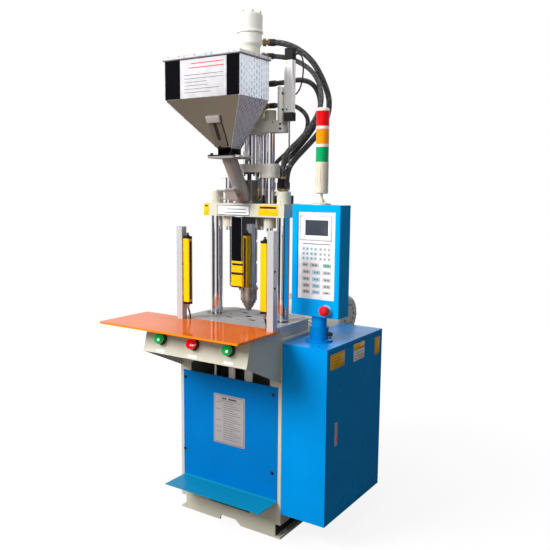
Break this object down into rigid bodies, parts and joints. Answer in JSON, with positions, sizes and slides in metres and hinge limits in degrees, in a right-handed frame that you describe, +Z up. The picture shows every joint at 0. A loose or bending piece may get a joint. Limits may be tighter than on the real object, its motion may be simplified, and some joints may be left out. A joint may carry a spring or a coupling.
{
  "type": "vertical injection moulding machine",
  "caption": "Floor-standing vertical plastic injection machine with hopper, safety light curtain, side cabinet and swivelling control box.",
  "frame": {"origin": "on the floor under the injection axis, on the underside of the base's front floor strip", "axes": "+X to the operator's right, -Y towards the operator, +Z up along the injection axis"},
  "size_m": [0.9015, 1.014, 2.131],
  "materials": {
    "beige_paint": "satin powder coat",
    "blue_paint": "satin paint",
    "blue_box": "satin paint",
    "table_steel": "ground and blued steel",
    "bronze": "turned bronze",
    "orange_acrylic": "polished orange acrylic",
    "black_plastic": "moulded black plastic",
    "green_plastic": "moulded green plastic",
    "red_plastic": "moulded red plastic",
    "aluminium": "anodised extrusion",
    "yellow_metal": "yellow lacquered extrusion",
    "black_rubber": "hose rubber",
    "chromed_steel": "hard chromed and polished",
    "dark_steel": "blackened steel",
    "steel": "turned steel",
    "stainless": "polished stainless sheet",
    "heater_steel": "heat-tinted stainless bands",
    "tank_paint": "satin powder coat",
    "ivory_plastic": "moulded ivory plastic",
    "electric_plastic": "grey device housings",
    "cast_steel": "machined casting",
    "lens_plastic": "translucent lens plastic"
  },
  "bodies": {
    "base": {"base_frame": "beige_paint", "front_panel": "blue_paint", "work_table": "table_steel", "tie_bar_bushings": "bronze", "console_housing": "beige_paint", "shelf_plate": "orange_acrylic", "button_bezels": "black_plastic", "curtain_posts": "aluminium", "curtain_housings": "yellow_metal", "curtain_cables": "black_rubber", "clamp_rod": "chromed_steel", "oil_tank": "tank_paint", "pump_unit": "beige_paint", "cabinet_shell": "blue_paint", "electrical_plate": "electric_plastic", "post_base": "blue_paint"},
    "clamp_carriage": {"platen": "beige_paint", "tie_bars": "chromed_steel", "rod_nuts": "beige_paint", "lower_yoke": "dark_steel", "clamp_cylinder": "beige_paint", "guide_rods": "chromed_steel", "feed_block": "cast_steel", "barrel": "steel", "nozzle": "steel", "heater_bands": "heater_steel", "barrel_cover": "stainless", "top_crosshead": "beige_paint", "injection_cylinder": "beige_paint", "hydraulic_motor": "beige_paint", "hopper_body": "stainless", "hopper_lid": "stainless", "feed_pipe": "steel", "transducer_body": "aluminium", "platen_manifold": "dark_steel", "hose_fittings": "bronze", "motor_hose": "black_rubber", "upper_hose": "black_rubber", "return_hose": "black_rubber", "lower_hose": "black_rubber", "coolant_hose": "black_rubber", "transducer_cable": "black_rubber"},
    "screw_carriage": {"mid_crosshead": "beige_paint", "piston_rod": "chromed_steel", "transducer_rod": "steel"},
    "screw_body": {"screw": "dark_steel"},
    "gate_body": {"hopper_gate": "stainless"},
    "shutter_body": {"drain_shutter": "stainless"},
    "door": {"cabinet_door": "blue_paint"},
    "latch": {"latch_handle": "aluminium"},
    "latch_push": {"latch_button": "red_plastic"},
    "pendant": {"pendant_box": "blue_box", "keypad_panel": "aluminium", "tower_body": "ivory_plastic", "tower_lenses": "lens_plastic"},
    "estop": {"estop_button": "red_plastic"},
    "knob": {"clamp_knob": "black_plastic"},
    "button_left": {"start_button_left": "green_plastic"},
    "button_stop": {"stop_button": "red_plastic"},
    "button_right": {"start_button_right": "green_plastic"}
  },
  "joints": [
    {"name": "clamp_slide", "type": "slide", "parent": "base", "child": "clamp_carriage", "axis": [0, 0, 1], "range_m": [0, 0.18]},
    {"name": "injection_slide", "type": "slide", "parent": "clamp_carriage", "child": "screw_carriage", "axis": [0, 0, 1], "range_m": [0, 0.1]},
    {"name": "screw_turn", "type": "hinge", "parent": "screw_carriage", "child": "screw_body", "pos_m": [0, 0, 1.4], "axis": [0, 0, 1], "continuous": true},
    {"name": "gate_slide", "type": "slide", "parent": "clamp_carriage", "child": "gate_body", "axis": [1, 0, 0], "range_m": [0, 0.06]},
    {"name": "shutter_slide", "type": "slide", "parent": "clamp_carriage", "child": "shutter_body", "axis": [1, 0, 0], "range_m": [0, 0.046]},
    {"name": "door_hinge", "type": "hinge", "parent": "base", "child": "door", "pos_m": [0.46, 0.34, 0.466], "axis": [0, 0, 1], "range_deg": [0, 100]},
    {"name": "latch_hinge", "type": "hinge", "parent": "door", "child": "latch", "pos_m": [0.4645, -0.064, 0.511], "axis": [0, -1, 0], "range_deg": [0, 30], "stiffness_Nm_per_rad": 0.3, "springref_deg": -11.46},
    {"name": "latch_button_slide", "type": "slide", "parent": "latch", "child": "latch_push", "axis": [-1, 0, 0], "range_m": [0, 0.003], "stiffness_N_per_m": 500, "springref_m": -0.002},
    {"name": "pendant_swivel", "type": "hinge", "parent": "base", "child": "pendant", "pos_m": [0.355, -0.014, 0.9], "axis": [0, 0, 1], "range_deg": [-90, 90]},
    {"name": "estop_slide", "type": "slide", "parent": "pendant", "child": "estop", "axis": [0, 1, 0], "range_m": [0, 0.005], "stiffness_N_per_m": 1200, "springref_m": -0.002},
    {"name": "knob_turn", "type": "hinge", "parent": "base", "child": "knob", "pos_m": [0.4, -0.014, 0.85], "axis": [1, 0, 0], "continuous": true},
    {"name": "button_left_slide", "type": "slide", "parent": "base", "child": "button_left", "axis": [0, 0.9608, -0.2772], "range_m": [0, 0.006], "stiffness_N_per_m": 900, "springref_m": -0.003},
    {"name": "button_stop_slide", "type": "slide", "parent": "base", "child": "button_stop", "axis": [0, 0.9608, -0.2772], "range_m": [0, 0.006], "stiffness_N_per_m": 900, "springref_m": -0.003},
    {"name": "button_right_slide", "type": "slide", "parent": "base", "child": "button_right", "axis": [0, 0.9608, -0.2772], "range_m": [0, 0.006], "stiffness_N_per_m": 900, "springref_m": -0.003}
  ]
}
